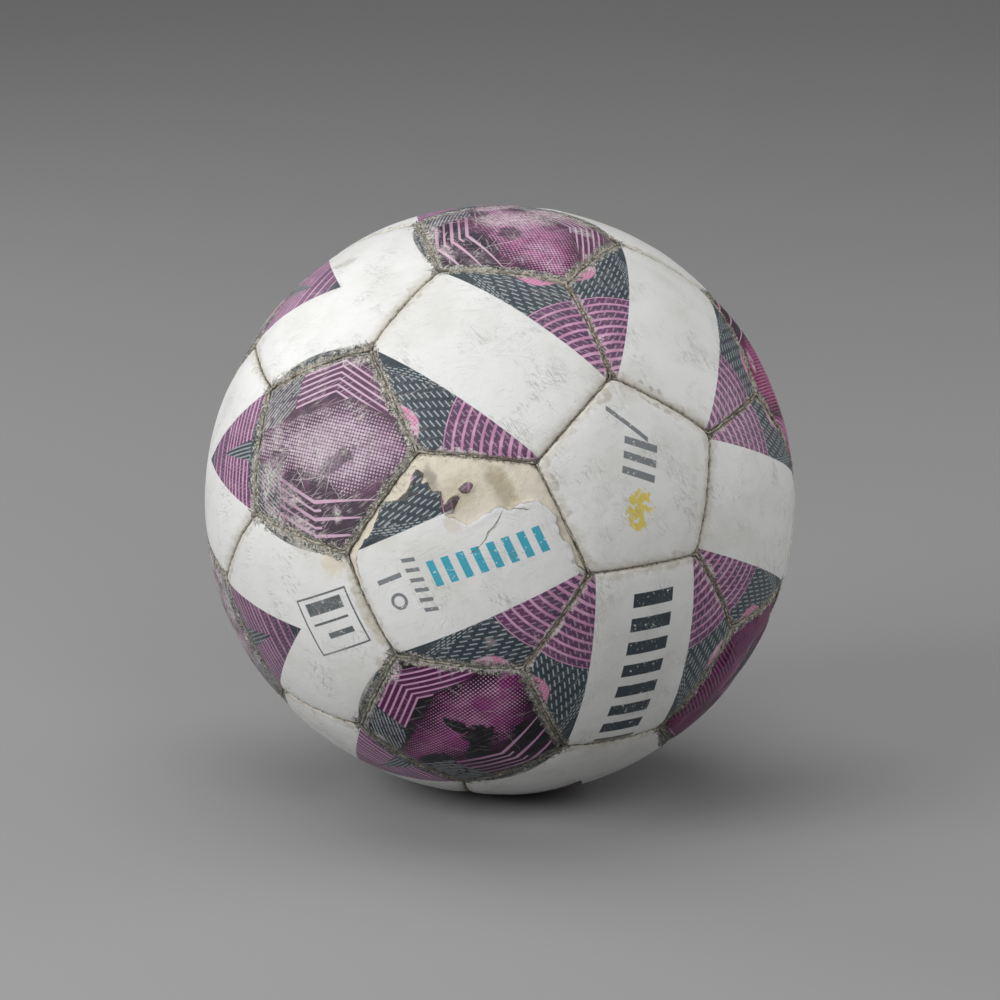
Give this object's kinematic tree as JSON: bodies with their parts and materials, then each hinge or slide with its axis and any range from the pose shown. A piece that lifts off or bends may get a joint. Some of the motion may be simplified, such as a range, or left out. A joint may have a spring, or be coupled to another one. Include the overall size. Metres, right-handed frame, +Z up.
{
  "type": "worn stitched soccer ball",
  "caption": "Worn, slightly soft stitched soccer ball: pentagon and hexagon panels with frayed seams and a torn cover over a rubber bladder with a needle valve.",
  "frame": {"origin": "centre of the ball's bounding box at its base, on the floor plane under the small flat spot it rests on", "axes": "+Z up; +Y is the direction the picture looks in, so the torn front panel and the front white pentagon face -Y; +X to the picture's right"},
  "size_m": [0.2178, 0.2178, 0.2165],
  "materials": {
    "white_cover": "satin grained synthetic leather, scuffed and dirty",
    "printed_cover": "satin grained synthetic leather with a worn print of dots and lines",
    "thread": "dirty waxed thread, frayed",
    "bladder_rubber": "matt",
    "valve_rubber": "matt"
  },
  "bodies": {
    "root": {"pentagon_white_front": "white_cover", "pentagon_printed_front_1": "printed_cover", "pentagon_printed_front_2": "printed_cover", "pentagon_printed_front_3": "printed_cover", "pentagon_printed_front_4": "printed_cover", "pentagon_printed_front_5": "printed_cover", "pentagon_printed_back_1": "printed_cover", "pentagon_printed_back_2": "printed_cover", "pentagon_printed_back_3": "printed_cover", "pentagon_printed_back_4": "printed_cover", "pentagon_printed_back_5": "printed_cover", "pentagon_white_back": "white_cover", "hexagon_front_1": "white_cover", "hexagon_front_2": "white_cover", "hexagon_front_3": "white_cover", "hexagon_front_4": "white_cover", "hexagon_front_5": "white_cover", "hexagon_waist_front_1": "white_cover", "hexagon_waist_front_2": "white_cover", "hexagon_waist_front_3": "white_cover", "hexagon_waist_front_4": "white_cover", "hexagon_waist_front_5": "white_cover", "hexagon_waist_back_1": "white_cover", "hexagon_waist_back_2": "white_cover", "hexagon_waist_back_3": "white_cover", "hexagon_waist_back_4": "white_cover", "hexagon_waist_back_5": "white_cover", "hexagon_back_1": "white_cover", "hexagon_back_2": "white_cover", "hexagon_back_3": "white_cover", "hexagon_back_4": "white_cover", "hexagon_back_5": "white_cover", "seam_thread": "thread", "bladder": "bladder_rubber", "valve_housing": "valve_rubber", "valve_insert": "valve_rubber"}
  },
  "joints": []
}
